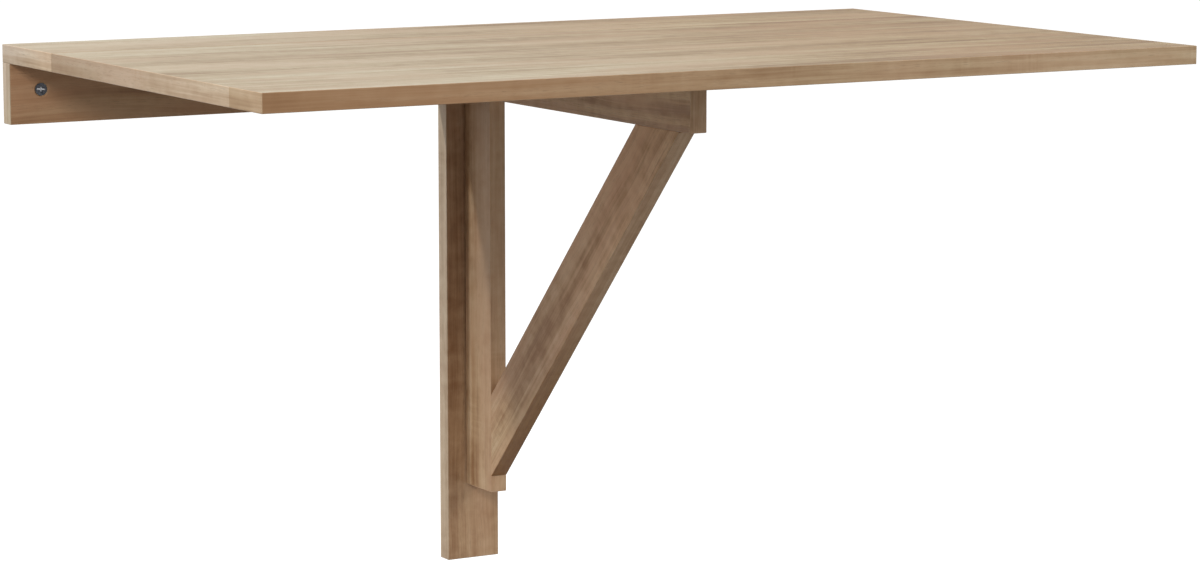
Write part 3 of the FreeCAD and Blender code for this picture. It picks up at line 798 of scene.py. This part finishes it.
# %% [markdown]
# The solids of the screws say where each one goes. A merged copy of their mesh falls apart into
# one island for each screw, and the middle of an island's head end is the point for the tree.
# The alternative, a list of places, would go wrong as soon as a board changed its size.

# %% Places of the screws
MERGE_DISTANCE = 1e-6


def islands(name):
    """The corners of each separate solid in a node."""
    copy = bmesh.new()
    copy.from_mesh(nodes[name].data)
    bmesh.ops.remove_doubles(copy, verts=copy.verts, dist=MERGE_DISTANCE)
    left, found = set(copy.verts), []
    while left:
        edge, solid = [left.pop()], []
        while edge:
            vertex = edge.pop()
            solid.append(vertex.co.copy())
            for link in vertex.link_edges:
                other = link.other_vert(vertex)
                if other in left:
                    left.remove(other)
                    edge.append(other)
        found.append(np.array(solid))
    copy.free()
    return sorted(found, key=lambda solid: tuple(solid.mean(0).round(4)))


def screw_points(piece, ways):
    """A mesh with a point at each screw's head, which carries the direction that its node has in ways."""
    points, axes = [], []
    for node, way in ways.items():
        for solid in islands(node):
            middle = Vector((solid.min(0) + solid.max(0)) / 2)
            back = (solid @ np.array(way)).min()
            points.append(middle + way * (back - middle.dot(way)))
            axes.append(way)
    mesh = bpy.data.meshes.new(piece + "_points")
    mesh.from_pydata(points, [], [])
    mesh.attributes.new("axis", "FLOAT_VECTOR", "POINT").data.foreach_set("vector", np.array(axes).ravel())
    return mesh


print("the rail has", len(islands("rail_wall_screws")), "screws")

# %% [markdown]
# Every body gets a mesh of its own, so that its screws move with it. The modifier is only a
# means: its result becomes a plain mesh, which takes the place of the plain solids.

# %% Screws in place
SHARP_ANGLE = math.radians(38)
INTO_WALL, UPWARD, LEFTWARD = Vector((0, 1, 0)), Vector((0, 0, 1)), Vector((-1, 0, 0))

# Sizes in millimetres
WALL_SCREW = {"Head Radius": 6.2, "Neck Radius": 3.0, "Neck Length": 17.0, "Root Radius": 1.85,
              "Thread Height": 0.65, "Pitch": 3.0, "Length": 60.0, "Point": 6.0,
              "Slot Length": 8.8, "Cross Length": 4.6, "Slot Width": 1.5, "Slot Depth": 1.3}
HINGE_SCREW = {"Head Radius": 3.15, "Neck Radius": 1.5, "Neck Length": 3.0, "Root Radius": 1.05,
               "Thread Height": 0.42, "Pitch": 1.3, "Length": 15.0, "Point": 3.0,
               "Slot Length": 3.6, "Cross Length": 3.6, "Slot Width": 0.8, "Slot Depth": 1.0}

# The most that a screw is turned either way, in radians
NEARLY_LEVEL, ANY_TURN = 0.25, 0.7


def set_screws(piece, body, finish, sizes, turn, seed, ways):
    holder = bpy.data.objects.new(piece, screw_points(piece, ways))
    modifier = holder.modifiers.new("screws", "NODES")
    modifier.node_group = screws_on_points
    for name, size in sizes.items():
        modifier[screw_inputs[name]] = size * MM
    modifier[screw_inputs["Turn"]] = turn
    modifier[screw_inputs["Seed"]] = seed
    modifier[screw_inputs["Finish"]] = finish
    scene.collection.objects.link(holder)
    made = bpy.data.meshes.new_from_object(holder.evaluated_get(bpy.context.evaluated_depsgraph_get()))
    holder.modifiers.clear()
    holder.data = made
    made.name = piece
    made.shade_smooth()
    made.set_sharp_from_angle(angle=SHARP_ANGLE)
    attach(holder, body)
    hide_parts(*ways)
    print(piece, "has", len(made.polygons), "faces")


set_screws("wall_screws", "wall_frame", screw_steel, WALL_SCREW, NEARLY_LEVEL, 4,
           {"rail_wall_screws": INTO_WALL, "post_wall_screws": INTO_WALL})
set_screws("hinge_screws_of_frame", "wall_frame", hinge_steel, HINGE_SCREW, ANY_TURN, 7,
           {"leaf_hinge_shelf_screws": UPWARD, "gate_hinge_post_screws": INTO_WALL})
set_screws("hinge_screws_of_leaf", "leaf", hinge_steel, HINGE_SCREW, ANY_TURN, 12,
           {"leaf_hinge_leaf_screws": UPWARD})
set_screws("hinge_screws_of_gate", "gate", hinge_steel, HINGE_SCREW, ANY_TURN, 15,
           {"gate_hinge_stile_screws": LEFTWARD})
